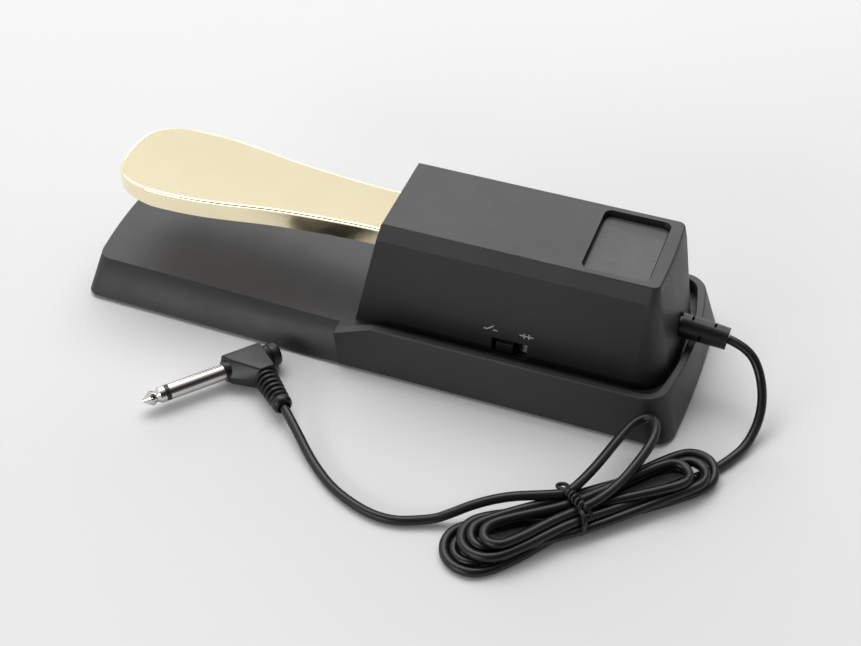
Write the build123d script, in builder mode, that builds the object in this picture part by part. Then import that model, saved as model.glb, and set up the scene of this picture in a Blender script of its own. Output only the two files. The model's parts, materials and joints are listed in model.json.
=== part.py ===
from build123d import *
from math import atan2, cos, pi, radians, sin, tan
import os

# Sustain pedal: a moulded tray and hood, a sprung lever, its switch works, and a cord with its plug.
# Millimetres. The origin is on the floor under the middle of the tray. +X runs from the
# lever's toe to the cord end, +Z is up, and the cord lies on the -Y side.

os.makedirs("parts", exist_ok=True)

# ---- driving dimensions ----
# tray
BASE_LENGTH = 252.0
BASE_WIDTH = 81.2
FOOT_HEIGHT = 1.5
DECK_Z = 14.8  # top of the low front deck, and floor of the groove round the hood
DECK_THICKNESS = 2.5
WALL = 2.5
RIM_HEIGHT = 6.0  # the rim stands this far above the deck
RIM_WIDTH = 3.0
DECK_SLOPE = 9.4  # the front sides come in this far from the floor to the deck
FRONT_TAPER = 2.6  # and the tray is this much narrower, each side, at its front end
FRONT_LEAN = 2.6
SKIRT_LEAN = 3.8  # the rear walls come in this far up to the rim
TUB_FRONT_X = -9.6
TUB_FRONT_LEAN = 0.218
RAMP_LENGTH = 16.0
END_BOW = 2.0  # the ends are bowed outwards by this much
RIM_BOW = 5.0

# hood
HOOD_TOP_Z = 60.6
BAND_HEIGHT = 6.4  # the upper band of each side leans more than the rest
GROOVE_WIDTH = 6.4  # between the hood and the rim, at the deck
HOOD_SIDE_LEAN = 4.8  # the sides come in this far up to the band
BAND_LEAN = 2.7
HOOD_FRONT_BASE = -7.4
HOOD_FRONT_TOP = 2.1
HOOD_REAR_GAP = 7.6  # from the tray's rear end to the hood's rear wall at the deck
HOOD_REAR_LEAN = 7.6
HOOD_BOW_BASE = 3.0
HOOD_BOW_TOP = 0.8
HOOD_CORNER_BASE = 13.0
HOOD_CORNER_TOP = 2.8
HOOD_WALL = 2.5
ROOF = 4.4
RECESS_LENGTH = 26.0
RECESS_HALF = 17.5
RECESS_DEPTH = 3.4
RECESS_REAR_GAP = 4.6
LABEL_GAP = 0.8
LABEL_THICKNESS = 0.8

# lever
LEVER_TOP_Z = 50.5
LEVER_THICKNESS = 8.0
LEVER_EDGE = 1.1
TOE_SETBACK = 9.0  # from the tray's front end
TOE_HALF = 21.4
TOE_LENGTH = 26.0  # from the toe's end to where it is widest
NECK_HALF = 12.5
NECK_X = 0.0
LEVER_SKIN = 2.2
TOE_LIFT = 2.5
MOUTH_GAP = 1.4

# pivot
PIVOT_X = 64.0
AXLE_RADIUS = 2.5
AXLE_CLEARANCE = 0.05
BUSH_WALL = 1.5
BOSS_RADIUS = 7.5
PRESS_ANGLE = 6.0
SIDE_PLAY = 0.8
SHEET = 2.5  # thickness of the bracket's steel

# bottom
PLATE_THICKNESS = 2.0
PLATE_GAP = 0.3
BALLAST = (80.0, 44.0, 6.0)
BALLAST_SETBACK = 26.0
FOOT_RADIUS = 7.0
FOOT_SINK = 0.5

# spring and stops
SPRING_X = 28.0
SPRING_RADIUS = 6.0
SPRING_WIRE = 1.4
SPRING_TURNS = 7
STOP_X = 14.0
STOP_GAP = 0.3

# fasteners
SCREW_RADIUS = 1.5
SCREW_HEAD_RADIUS = 2.8
SCREW_HEAD = 2.0
SCREW_GAP = 0.1
BOSS_SCREW_RADIUS = 3.6

# switches
MICRO = (20.0, 6.4, 10.0)
MICRO_DROP = 17.0  # from the lever's underside to the switch's underside
LEAF_THICKNESS = 0.5
SLIDER_X = 54.35
SLIDER_LENGTH = 6.7
SLIDER_HEIGHT = 4.7
SLIDER_TRAVEL = 4.0
SLIDE_FRAME = (25.0, 8.4)
BOARD_THICKNESS = 1.6
BOARD_GAP = 0.9

# cord and plug
CORD_RADIUS = 1.8
EXIT_Z = 27.5
EXIT_DROP = 5.3  # degrees below level
RELIEF_LENGTH = 18.4
PLUG_RADIUS = 3.175
PLUG_AXIS_Z = 6.0

# ---- derived places ----
FRONT_X = -BASE_LENGTH / 2
REAR_X = BASE_LENGTH / 2
HALF_WIDTH = BASE_WIDTH / 2
FLOOR_Z = FOOT_HEIGHT  # lowest edge of the tray
PLATE_TOP_Z = FLOOR_Z + PLATE_THICKNESS
CEILING_Z = DECK_Z - DECK_THICKNESS
RIM_Z = DECK_Z + RIM_HEIGHT
BAND_Z = HOOD_TOP_Z - BAND_HEIGHT
RIM_FOOT = RIM_WIDTH + 1.2  # the rim's width at the deck
HOOD_HALF_BASE = (
    HALF_WIDTH
    - SKIRT_LEAN * (DECK_Z - FLOOR_Z) / (RIM_Z - FLOOR_Z)
    - RIM_FOOT
    - GROOVE_WIDTH
)
HOOD_HALF_BAND = HOOD_HALF_BASE - HOOD_SIDE_LEAN
HOOD_HALF_TOP = HOOD_HALF_BAND - BAND_LEAN
TOE_X = FRONT_X + TOE_SETBACK
TOE_WIDEST_X = TOE_X + TOE_LENGTH
LEVER_BOTTOM_Z = LEVER_TOP_Z - LEVER_THICKNESS
PIVOT_Z = LEVER_BOTTOM_Z + 2.5
CHEEK_IN = NECK_HALF + SIDE_PLAY
CHEEK_OUT = CHEEK_IN + SHEET
BRACKET_TOP_Z = PLATE_TOP_Z + SHEET
BOARD_Y = -CHEEK_OUT - BOARD_THICKNESS - BOARD_GAP
SLIDE_DEPTH = HOOD_HALF_BASE - HOOD_WALL - 1.5 + BOARD_Y
MICRO_Z = LEVER_BOTTOM_Z - MICRO_DROP


# ---- plan shapes ----
def plan(z, front_x, rear_x, front_half, rear_half, bows, radii):
    """A closed plan shape at height z with straight sides, bowed ends and rounded corners."""
    front_bow, rear_bow = bows
    with BuildSketch(Plane.XY.offset(z)) as shape:
        with BuildLine():
            Line((front_x, -front_half), (rear_x, -rear_half))
            if rear_bow:
                ThreePointArc((rear_x, -rear_half), (rear_x + rear_bow, 0), (rear_x, rear_half))
            else:
                Line((rear_x, -rear_half), (rear_x, rear_half))
            Line((rear_x, rear_half), (front_x, front_half))
            if front_bow:
                ThreePointArc((front_x, front_half), (front_x - front_bow, 0), (front_x, -front_half))
            else:
                Line((front_x, front_half), (front_x, -front_half))
        make_face()
        if radii[0]:
            fillet(shape.vertices().group_by(Axis.X)[0], radius=radii[0])
        if radii[1]:
            fillet(shape.vertices().group_by(Axis.X)[-1], radius=radii[1])
    return shape.sketch


def deck_plan(z, inset=0.0):
    """The front part of the tray at height z: its sides slope in steeply up to the deck."""
    share = (z - FLOOR_Z) / (DECK_Z - FLOOR_Z)
    half = HALF_WIDTH - DECK_SLOPE * share - inset
    front = FRONT_X + END_BOW + FRONT_LEAN * share + inset
    corner = max(5.5 - inset, 1.0)
    return plan(z, front, -TUB_FRONT_X, half - FRONT_TAPER, half, (END_BOW, 0), (corner, 0))


def tub_plan(z, inset=0.0, front_x=None):
    """The rear part of the tray at height z: a steeper skirt up to the rim."""
    share = (z - FLOOR_Z) / (RIM_Z - FLOOR_Z)
    half = HALF_WIDTH - SKIRT_LEAN * share - inset
    bow = END_BOW + (RIM_BOW - END_BOW) * share
    rear = REAR_X - bow - SKIRT_LEAN * 0.84 * share - inset
    if front_x is None:
        front_x = TUB_FRONT_X - TUB_FRONT_LEAN * (z - FLOOR_Z) + inset
    corner = max(9.5 - inset, 1.0)
    return plan(z, front_x, rear, half, half, (0, bow), (0, corner))


def hood_plan(z, inset=0.0):
    """The hood at height z; the sides change slope at the band."""
    share = (z - DECK_Z) / (HOOD_TOP_Z - DECK_Z)
    if z <= BAND_Z:
        part = (z - DECK_Z) / (BAND_Z - DECK_Z)
        half = HOOD_HALF_BASE + (HOOD_HALF_BAND - HOOD_HALF_BASE) * part
    else:
        part = (z - BAND_Z) / (HOOD_TOP_Z - BAND_Z)
        half = HOOD_HALF_BAND + (HOOD_HALF_TOP - HOOD_HALF_BAND) * part
    bow = HOOD_BOW_BASE + (HOOD_BOW_TOP - HOOD_BOW_BASE) * share
    front = HOOD_FRONT_BASE + (HOOD_FRONT_TOP - HOOD_FRONT_BASE) * share + inset
    rear = REAR_X - HOOD_REAR_GAP - HOOD_REAR_LEAN * share - bow - inset
    corner = HOOD_CORNER_BASE + (HOOD_CORNER_TOP - HOOD_CORNER_BASE) * share - inset
    return plan(z, front, rear, half - inset, half - inset, (0, bow), (0, max(corner, 1.0)))


def tube(points, radius, name):
    """A round tube along straight runs joined by tangent arcs; prints its arc radii."""
    vectors = [Vector(*p) for p in points]
    radii = []
    for before, here, after in zip(vectors, vectors[1:], vectors[2:]):
        run = min((here - before).length, (after - here).length)
        turn = (here - before).get_angle(after - here)
        radii.append(0.45 * run / tan(radians(turn) / 2))
    with BuildPart() as made:
        with BuildLine() as path:
            FilletPolyline(*points, radius=radii)
        with BuildSketch(Plane(origin=points[0], z_dir=path.line % 0)):
            Circle(radius)
        sweep()
    length = sum(edge.length for edge in path.edges())
    print(name, "length", round(length, 1), "radii", [round(r, 1) for r in radii],
          "fill", round(made.part.volume / (length * pi * radius**2), 4))
    return made


def finish(made, name):
    """Label a finished piece and write it."""
    made.part.label = name
    export_step(made.part, f"parts/{name}.step")


# ---- base tray ----
POSTS = [
    (x, side * (HALF_WIDTH - inset))
    for x, inset in ((FRONT_X + 20, 16.6), (-2, 10.6), (REAR_X - 18, 13.6))
    for side in (-1, 1)
]
HOOD_SCREWS = [(x, side * (HOOD_HALF_BASE - 5.4)) for x in (16, REAR_X - 26) for side in (-1, 1)]
OPENING_HALF = HOOD_HALF_BASE - 9.0
OPENING_X = (4.0, REAR_X - 22)

with BuildPart() as base_tray:
    loft([deck_plan(FLOOR_Z), deck_plan(DECK_Z)])
    loft([tub_plan(FLOOR_Z), tub_plan(RIM_Z)])
    # the rim's two ends ramp down to the deck
    ramp_x = TUB_FRONT_X - TUB_FRONT_LEAN * (DECK_Z - FLOOR_Z)
    with BuildSketch(Plane.XZ):
        with BuildLine():
            Polyline(
                (ramp_x, DECK_Z),
                (ramp_x + RAMP_LENGTH, RIM_Z),
                (ramp_x + RAMP_LENGTH, RIM_Z + 5),
                (ramp_x - 10, RIM_Z + 5),
                (ramp_x - 10, DECK_Z),
                close=True,
            )
        make_face()
    extrude(amount=HALF_WIDTH + 5, both=True, mode=Mode.SUBTRACT)
    # the pocket inside the rim
    loft(
        [tub_plan(DECK_Z, RIM_FOOT, -60), tub_plan(RIM_Z, RIM_WIDTH, -60)],
        mode=Mode.SUBTRACT,
    )
    fillet(
        base_tray.edges().filter_by(lambda e: e.bounding_box().min.Z > RIM_Z - 0.1),
        radius=0.6,
    )
    # hollow underneath
    loft([deck_plan(FLOOR_Z, WALL), deck_plan(CEILING_Z, WALL)], mode=Mode.SUBTRACT)
    loft([tub_plan(FLOOR_Z, WALL), tub_plan(CEILING_Z, WALL)], mode=Mode.SUBTRACT)
    # way through to the hood
    with BuildSketch(Plane.XY.offset(CEILING_Z)):
        with Locations(((OPENING_X[0] + OPENING_X[1]) / 2, 0)):
            RectangleRounded(OPENING_X[1] - OPENING_X[0], 2 * OPENING_HALF, 3)
    extrude(amount=DECK_THICKNESS, mode=Mode.SUBTRACT)
    with BuildSketch(Plane.XY.offset(CEILING_Z)):
        with Locations(*HOOD_SCREWS):
            Circle(SCREW_RADIUS + SCREW_GAP)
    extrude(amount=DECK_THICKNESS, mode=Mode.SUBTRACT)
    # posts for the plate's screws
    with BuildSketch(Plane.XY.offset(PLATE_TOP_Z)):
        with Locations(*POSTS):
            Circle(BOSS_SCREW_RADIUS)
    extrude(amount=CEILING_Z - PLATE_TOP_Z)
    with BuildSketch(Plane.XY.offset(PLATE_TOP_Z)):
        with Locations(*POSTS):
            Circle(SCREW_RADIUS + SCREW_GAP)
    extrude(amount=7, mode=Mode.SUBTRACT)
finish(base_tray, "base_tray")

# ---- base plate, ballast and feet ----
FEET = [
    (x, side * (HALF_WIDTH - inset))
    for x, inset in ((FRONT_X + 36, 13.6), (18, 9.8), (REAR_X - 38, 10.6))
    for side in (-1, 1)
]
BRACKET_X = (6.0, PIVOT_X + 14)
BRACKET_SCREWS = [(x, side * 7.5) for x in (42, PIVOT_X + 8) for side in (-1, 1)]

with BuildPart() as base_plate:
    for shape in (deck_plan(PLATE_TOP_Z, WALL + PLATE_GAP), tub_plan(PLATE_TOP_Z, WALL + PLATE_GAP)):
        extrude(shape, amount=-PLATE_THICKNESS)
    with Locations(Plane.XY.offset(FLOOR_Z)):
        with Locations(*FEET):
            Cylinder(
                FOOT_RADIUS + 0.1,
                FOOT_SINK,
                align=(Align.CENTER, Align.CENTER, Align.MIN),
                mode=Mode.SUBTRACT,
            )
        with Locations(*BRACKET_SCREWS):
            Cylinder(
                SCREW_RADIUS + SCREW_GAP,
                PLATE_THICKNESS,
                align=(Align.CENTER, Align.CENTER, Align.MIN),
                mode=Mode.SUBTRACT,
            )
        with Locations(*[Location((x, y, 0), (180, 0, 0)) for x, y in POSTS]):
            CounterSinkHole(
                SCREW_RADIUS + SCREW_GAP,
                SCREW_HEAD_RADIUS + SCREW_GAP,
                depth=PLATE_THICKNESS,
                counter_sink_angle=90,
            )
finish(base_plate, "base_plate")

with BuildPart() as rubber_feet:
    with BuildSketch(Plane.XY):
        with Locations(*FEET):
            Circle(FOOT_RADIUS)
    extrude(amount=FOOT_HEIGHT + FOOT_SINK)
    fillet(rubber_feet.edges().group_by(Axis.Z)[0], radius=0.5)
finish(rubber_feet, "rubber_feet")

with BuildPart() as ballast_plate:
    with BuildSketch(Plane.XY.offset(PLATE_TOP_Z)):
        with Locations((FRONT_X + BALLAST_SETBACK + BALLAST[0] / 2, 0)):
            RectangleRounded(BALLAST[0], BALLAST[1], 3)
    extrude(amount=BALLAST[2])
finish(ballast_plate, "ballast_plate")

with BuildPart() as plate_screws:
    with BuildSketch(Plane.XY.offset(FLOOR_Z)):
        with Locations(*POSTS):
            Circle(SCREW_RADIUS)
    extrude(amount=PLATE_THICKNESS + 5)
    with Locations(Plane.XY.offset(FLOOR_Z)):
        with Locations(*POSTS):
            Cone(
                SCREW_HEAD_RADIUS,
                SCREW_RADIUS,
                SCREW_HEAD_RADIUS - SCREW_RADIUS,
                align=(Align.CENTER, Align.CENTER, Align.MIN),
            )
finish(plate_screws, "plate_screws")

# ---- hood ----
MOUTH_HALF = NECK_HALF + MOUTH_GAP
MOUTH_DROP = (PIVOT_X - HOOD_FRONT_BASE) * sin(radians(PRESS_ANGLE))
MOUTH_Z = (LEVER_BOTTOM_Z - MOUTH_DROP - MOUTH_GAP, LEVER_TOP_Z + MOUTH_GAP)
RECESS_X = REAR_X - HOOD_REAR_GAP - HOOD_REAR_LEAN - HOOD_BOW_TOP - RECESS_REAR_GAP - RECESS_LENGTH / 2
SLOT_X = (SLIDER_X - SLIDER_LENGTH / 2 - 1.9, SLIDER_X + SLIDER_LENGTH / 2 + SLIDER_TRAVEL + 1.7)
SLIDER_Z = DECK_Z + 3.75
EXIT = Vector(REAR_X - HOOD_REAR_GAP - HOOD_REAR_LEAN * (EXIT_Z - DECK_Z) / (HOOD_TOP_Z - DECK_Z), 0, EXIT_Z)
EXIT_PLANE = Plane(
    origin=EXIT,
    x_dir=(0, 1, 0),
    z_dir=(cos(radians(EXIT_DROP)), 0, -sin(radians(EXIT_DROP))),
)
RELIEF_RADIUS = 4.9
RELIEF_NECK = 3.2
BOARD_POSTS = [(PIVOT_X + 12, DECK_Z + 15.2), (PIVOT_X + 34, DECK_Z + 15.2)]

with BuildPart() as hood:
    loft([hood_plan(DECK_Z), hood_plan(BAND_Z), hood_plan(HOOD_TOP_Z)], ruled=True)
    fillet(hood.edges().group_by(Axis.Z)[-1], radius=0.8)
    loft([hood_plan(DECK_Z, HOOD_WALL), hood_plan(BAND_Z, HOOD_WALL)], ruled=True, mode=Mode.SUBTRACT)
    loft([hood_plan(BAND_Z, HOOD_WALL), hood_plan(HOOD_TOP_Z - ROOF, HOOD_WALL)], mode=Mode.SUBTRACT)
    # recess for the plate
    with BuildSketch(Plane.XY.offset(HOOD_TOP_Z)):
        with Locations((RECESS_X, 0)):
            RectangleRounded(RECESS_LENGTH, 2 * RECESS_HALF, 3)
    extrude(amount=-RECESS_DEPTH, mode=Mode.SUBTRACT)
    # mouth for the lever
    with BuildSketch(Plane.YZ.offset(HOOD_FRONT_BASE - 1)):
        with Locations((0, (MOUTH_Z[0] + MOUTH_Z[1]) / 2)):
            RectangleRounded(2 * MOUTH_HALF, MOUTH_Z[1] - MOUTH_Z[0], 1.5)
    extrude(amount=HOOD_FRONT_TOP - HOOD_FRONT_BASE + HOOD_WALL + 3, mode=Mode.SUBTRACT)
    # slot for the slider's knob
    with BuildSketch(Plane.XZ.offset(OPENING_HALF)):
        with Locations(((SLOT_X[0] + SLOT_X[1]) / 2, SLIDER_Z + 0.55)):
            Rectangle(SLOT_X[1] - SLOT_X[0], SLIDER_HEIGHT + 2.4)
    extrude(amount=HOOD_HALF_BASE - OPENING_HALF + 3, mode=Mode.SUBTRACT)
    # screw bosses, down to the deck
    with BuildSketch(Plane.XY.offset(DECK_Z)):
        with Locations(*HOOD_SCREWS):
            Circle(3.4)
    extrude(amount=12)
    with BuildSketch(Plane.XY.offset(DECK_Z)):
        with Locations(*HOOD_SCREWS):
            Circle(SCREW_RADIUS + SCREW_GAP)
    extrude(amount=8, mode=Mode.SUBTRACT)
    # posts that carry the circuit board
    with BuildSketch(Plane.XZ.offset(-BOARD_Y)):
        with Locations(*BOARD_POSTS):
            Circle(3)
    extrude(amount=HOOD_HALF_BASE - HOOD_WALL + BOARD_Y - 1.2)
    with BuildSketch(Plane.XZ.offset(-BOARD_Y)):
        with Locations(*BOARD_POSTS):
            Circle(SCREW_RADIUS + SCREW_GAP)
    extrude(amount=4.5, mode=Mode.SUBTRACT)
    # hole for the strain relief
    with BuildSketch(EXIT_PLANE.offset(-12)):
        Circle(RELIEF_NECK + 0.05)
    extrude(amount=20, mode=Mode.SUBTRACT)
finish(hood, "hood")

with BuildPart() as hood_screws:
    with BuildSketch(Plane.XY.offset(CEILING_Z)):
        with Locations(*HOOD_SCREWS):
            Circle(SCREW_RADIUS)
    extrude(amount=DECK_THICKNESS + 7)
    with BuildSketch(Plane.XY.offset(CEILING_Z)):
        with Locations(*HOOD_SCREWS):
            Circle(SCREW_HEAD_RADIUS)
    extrude(amount=-SCREW_HEAD)
    fillet(hood_screws.edges().group_by(Axis.Z)[0], radius=0.7)
finish(hood_screws, "hood_screws")

with BuildPart() as label_plate:
    with BuildSketch(Plane.XY.offset(HOOD_TOP_Z - RECESS_DEPTH)):
        with Locations((RECESS_X, 0)):
            RectangleRounded(RECESS_LENGTH - 2 * LABEL_GAP, 2 * (RECESS_HALF - LABEL_GAP), 2.5)
    extrude(amount=LABEL_THICKNESS)
finish(label_plate, "label_plate")

# ---- lever ----
AXLE_AXIS = Plane.XZ.offset(-NECK_HALF)
LEVER_SIDE = [
    (TOE_X + 4.6, TOE_HALF * 0.74),
    (TOE_X + 12, TOE_HALF * 0.93),
    (TOE_WIDEST_X, TOE_HALF),
    (TOE_WIDEST_X + 21, NECK_HALF + 7.3),
    (TOE_WIDEST_X + 41, NECK_HALF + 3.9),
    (TOE_WIDEST_X + 63, NECK_HALF + 1.4),
    (NECK_X, NECK_HALF),
]
HOLLOW_SIDE = [
    (TOE_X + 13, TOE_HALF * 0.93 - 6),
    (TOE_WIDEST_X, TOE_HALF - 4),
    (TOE_WIDEST_X + 21, NECK_HALF + 3.6),
    (TOE_WIDEST_X + 41, NECK_HALF + 0.2),
    (TOE_WIDEST_X + 63, NECK_HALF - 3),
]
with BuildPart() as pedal_lever:
    with BuildSketch(Plane.XY.offset(LEVER_BOTTOM_Z)):
        with BuildLine():
            Spline(
                *[(x, -y) for x, y in reversed(LEVER_SIDE)],
                (TOE_X, 0),
                *LEVER_SIDE,
                tangents=((-1, 0), (1, 0)),
            )
            Polyline(
                (NECK_X, NECK_HALF),
                (PIVOT_X + BOSS_RADIUS, NECK_HALF),
                (PIVOT_X + BOSS_RADIUS, -NECK_HALF),
                (NECK_X, -NECK_HALF),
            )
        make_face()
    extrude(amount=LEVER_THICKNESS)
    fillet(pedal_lever.edges().group_by(Axis.Z)[-1], radius=LEVER_EDGE)
    # the toe's underside lifts
    with BuildSketch(Plane.XZ):
        with BuildLine():
            Polyline(
                (TOE_X - 2, LEVER_BOTTOM_Z - 1),
                (TOE_X + 20, LEVER_BOTTOM_Z - 1),
                (TOE_X + 20, LEVER_BOTTOM_Z),
                (TOE_X - 2, LEVER_BOTTOM_Z + TOE_LIFT),
                close=True,
            )
        make_face()
    extrude(amount=TOE_HALF + 5, both=True, mode=Mode.SUBTRACT)
    # pivot boss
    with BuildSketch(AXLE_AXIS):
        with Locations((PIVOT_X, PIVOT_Z)):
            Circle(BOSS_RADIUS)
    extrude(amount=2 * NECK_HALF)
    # hollow under the toe
    with BuildSketch(Plane.XY.offset(LEVER_BOTTOM_Z)):
        with BuildLine():
            Spline(
                *[(x, -y) for x, y in reversed(HOLLOW_SIDE)],
                (TOE_X + 6, 0),
                *HOLLOW_SIDE,
                tangents=((-1, 0), (1, 0)),
            )
            Line(
                (HOLLOW_SIDE[-1][0], HOLLOW_SIDE[-1][1]),
                (HOLLOW_SIDE[-1][0], -HOLLOW_SIDE[-1][1]),
            )
        make_face()
    extrude(amount=LEVER_THICKNESS - LEVER_SKIN, mode=Mode.SUBTRACT)
    # bore for the bushes
    with BuildSketch(AXLE_AXIS):
        with Locations((PIVOT_X, PIVOT_Z)):
            Circle(AXLE_RADIUS + BUSH_WALL)
    extrude(amount=2 * NECK_HALF, mode=Mode.SUBTRACT)
finish(pedal_lever, "pedal_lever")

with BuildPart() as pivot_bushes:
    for side in (-1, 1):
        with BuildSketch(Plane.XZ.offset(-side * NECK_HALF)):
            with Locations((PIVOT_X, PIVOT_Z)):
                Circle(AXLE_RADIUS + BUSH_WALL)
                Circle(AXLE_RADIUS + AXLE_CLEARANCE, mode=Mode.SUBTRACT)
        extrude(amount=side * (NECK_HALF - 2))
finish(pivot_bushes, "pivot_bushes")

# ---- axle and bracket ----
CLIP = 0.8
with BuildPart() as pivot_axle:
    with BuildSketch(Plane.XZ.offset(-CHEEK_OUT - 2)):
        with Locations((PIVOT_X, PIVOT_Z)):
            Circle(AXLE_RADIUS)
    extrude(amount=2 * (CHEEK_OUT + 2))
    for side in (-1, 1):
        with BuildSketch(Plane.XZ.offset(side * CHEEK_OUT)):
            with Locations((PIVOT_X, PIVOT_Z)):
                Circle(AXLE_RADIUS)
                Circle(AXLE_RADIUS - 0.6, mode=Mode.SUBTRACT)
        extrude(amount=side * CLIP, mode=Mode.SUBTRACT)
finish(pivot_axle, "pivot_axle")

with BuildPart() as axle_clips:
    for side in (-1, 1):
        with BuildSketch(Plane.XZ.offset(side * CHEEK_OUT)):
            with Locations((PIVOT_X, PIVOT_Z)):
                Circle(AXLE_RADIUS + 1.6)
                Circle(AXLE_RADIUS - 0.6, mode=Mode.SUBTRACT)
            with Locations((PIVOT_X, PIVOT_Z - AXLE_RADIUS - 1)):
                Rectangle(2.6, 2 * AXLE_RADIUS, mode=Mode.SUBTRACT)
        extrude(amount=side * CLIP)
finish(axle_clips, "axle_clips")

MICRO_X = PIVOT_X - 27.5
STOP_TOP_Z = PIVOT_Z - (PIVOT_X - STOP_X + 5) * sin(radians(PRESS_ANGLE)) - 2.5 - STOP_GAP
STOP_PAD = 2.5
CHEEK_TOP_Z = PIVOT_Z + AXLE_RADIUS + 2.5
MICRO_HOLES = [(MICRO_X + 5, MICRO_Z + 3), (MICRO_X + 14.5, MICRO_Z + 3)]

with BuildPart() as pivot_bracket:
    with BuildSketch(Plane.XY.offset(PLATE_TOP_Z)):
        with Locations(((BRACKET_X[0] + BRACKET_X[1]) / 2, 0)):
            Rectangle(BRACKET_X[1] - BRACKET_X[0], 2 * CHEEK_OUT)
    extrude(amount=SHEET)
    for side in (-1, 1):
        cheek_front = PIVOT_X - 10 if side < 0 else MICRO_X - 1
        with BuildSketch(Plane.XZ.offset(side * CHEEK_IN)):
            with BuildLine():
                Polyline(
                    (cheek_front, PLATE_TOP_Z),
                    (BRACKET_X[1] - 2, PLATE_TOP_Z),
                    (PIVOT_X + 6, CHEEK_TOP_Z),
                    (PIVOT_X - 6, CHEEK_TOP_Z),
                    (PIVOT_X - 9, MICRO_Z + MICRO[2]),
                    (cheek_front, MICRO_Z + MICRO[2]),
                    close=True,
                )
            make_face()
            with Locations((PIVOT_X, PIVOT_Z)):
                Circle(AXLE_RADIUS + 0.02, mode=Mode.SUBTRACT)
            if side > 0:
                with Locations(*MICRO_HOLES):
                    Circle(1.2, mode=Mode.SUBTRACT)
        extrude(amount=side * SHEET)
    # stop arm in front of the spring
    with BuildSketch(Plane.XZ):
        with BuildLine():
            Polyline(
                (STOP_X - 6, BRACKET_TOP_Z - 1),
                (STOP_X - 6 + SHEET, BRACKET_TOP_Z - 1),
                (STOP_X - 6 + SHEET, STOP_TOP_Z - STOP_PAD - SHEET),
                (STOP_X + 6, STOP_TOP_Z - STOP_PAD - SHEET),
                (STOP_X + 6, STOP_TOP_Z - STOP_PAD),
                (STOP_X - 6, STOP_TOP_Z - STOP_PAD),
                close=True,
            )
        make_face()
    extrude(amount=9, both=True)
    with BuildSketch(Plane.XY.offset(PLATE_TOP_Z)):
        with Locations(*BRACKET_SCREWS):
            Circle(SCREW_RADIUS + SCREW_GAP)
    extrude(amount=SHEET, mode=Mode.SUBTRACT)
finish(pivot_bracket, "pivot_bracket")

with BuildPart() as bracket_screws:
    with BuildSketch(Plane.XY.offset(FLOOR_Z)):
        with Locations(*BRACKET_SCREWS):
            Circle(SCREW_RADIUS)
    extrude(amount=PLATE_THICKNESS + SHEET)
    with BuildSketch(Plane.XY.offset(BRACKET_TOP_Z)):
        with Locations(*BRACKET_SCREWS):
            Circle(SCREW_HEAD_RADIUS)
    extrude(amount=SCREW_HEAD)
    fillet(bracket_screws.edges().group_by(Axis.Z)[-1], radius=0.7)
finish(bracket_screws, "bracket_screws")

# ---- stops and spring ----
with BuildPart() as down_stop_pad:
    with BuildSketch(Plane.XY.offset(STOP_TOP_Z - STOP_PAD)):
        with Locations((STOP_X, 0)):
            RectangleRounded(10, 16, 1)
    extrude(amount=STOP_PAD)
finish(down_stop_pad, "down_stop_pad")

with BuildPart() as up_stop_pad:
    with BuildSketch(Plane.XY.offset(LEVER_TOP_Z + 0.1)):
        with Locations((STOP_X + 4, 0)):
            RectangleRounded(12, 16, 1)
    extrude(amount=HOOD_TOP_Z - ROOF - LEVER_TOP_Z - 0.1)
finish(up_stop_pad, "up_stop_pad")

SEAT = 1.6
with BuildPart() as spring_seat:
    with BuildSketch(Plane.XY.offset(BRACKET_TOP_Z)):
        with Locations((SPRING_X, 0)):
            Circle(SPRING_RADIUS + 2)
    extrude(amount=SEAT)
    with BuildSketch(Plane.XY.offset(BRACKET_TOP_Z + SEAT)):
        with Locations((SPRING_X, 0)):
            Circle(SPRING_RADIUS - SPRING_WIRE)
    extrude(amount=5)
finish(spring_seat, "spring_seat")

SPRING_LOW = BRACKET_TOP_Z + SEAT + SPRING_WIRE / 2 + 0.05
SPRING_HIGH = LEVER_BOTTOM_Z - SPRING_WIRE / 2 - 0.05
with BuildPart() as return_spring:
    with BuildLine(Plane(origin=(SPRING_X, 0, SPRING_LOW))):
        coil = Helix(
            pitch=(SPRING_HIGH - SPRING_LOW) / SPRING_TURNS,
            height=SPRING_HIGH - SPRING_LOW,
            radius=SPRING_RADIUS - SPRING_WIRE / 2,
        )
    with BuildSketch(Plane(origin=coil @ 0, z_dir=coil % 0)):
        Circle(SPRING_WIRE / 2)
    sweep(is_frenet=True)
finish(return_spring, "return_spring")

# ---- micro switch ----
MICRO_TOP_Z = MICRO_Z + MICRO[2]
MICRO_Y = -CHEEK_IN + MICRO[1] / 2
LEAF_PIVOT = (MICRO_X + MICRO[0] - 1.2, MICRO_TOP_Z + 1.0)
LEAF_TIP = (MICRO_X + 4, LEVER_BOTTOM_Z - 1.2)
PLUNGER_X = MICRO_X + 9
PLUNGER_RISE = 3.4

with BuildPart() as micro_switch_body:
    with BuildSketch(Plane.XZ.offset(CHEEK_IN - MICRO[1])):
        with Locations((MICRO_X + MICRO[0] / 2, MICRO_Z + MICRO[2] / 2)):
            RectangleRounded(MICRO[0], MICRO[2], 0.6)
        with Locations(*MICRO_HOLES):
            Circle(1.2, mode=Mode.SUBTRACT)
    extrude(amount=MICRO[1])
    with BuildSketch(Plane.XY.offset(MICRO_TOP_Z)):
        with Locations((PLUNGER_X, MICRO_Y)):
            Circle(1.5)
    extrude(amount=-4, mode=Mode.SUBTRACT)
finish(micro_switch_body, "micro_switch_body")

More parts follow.
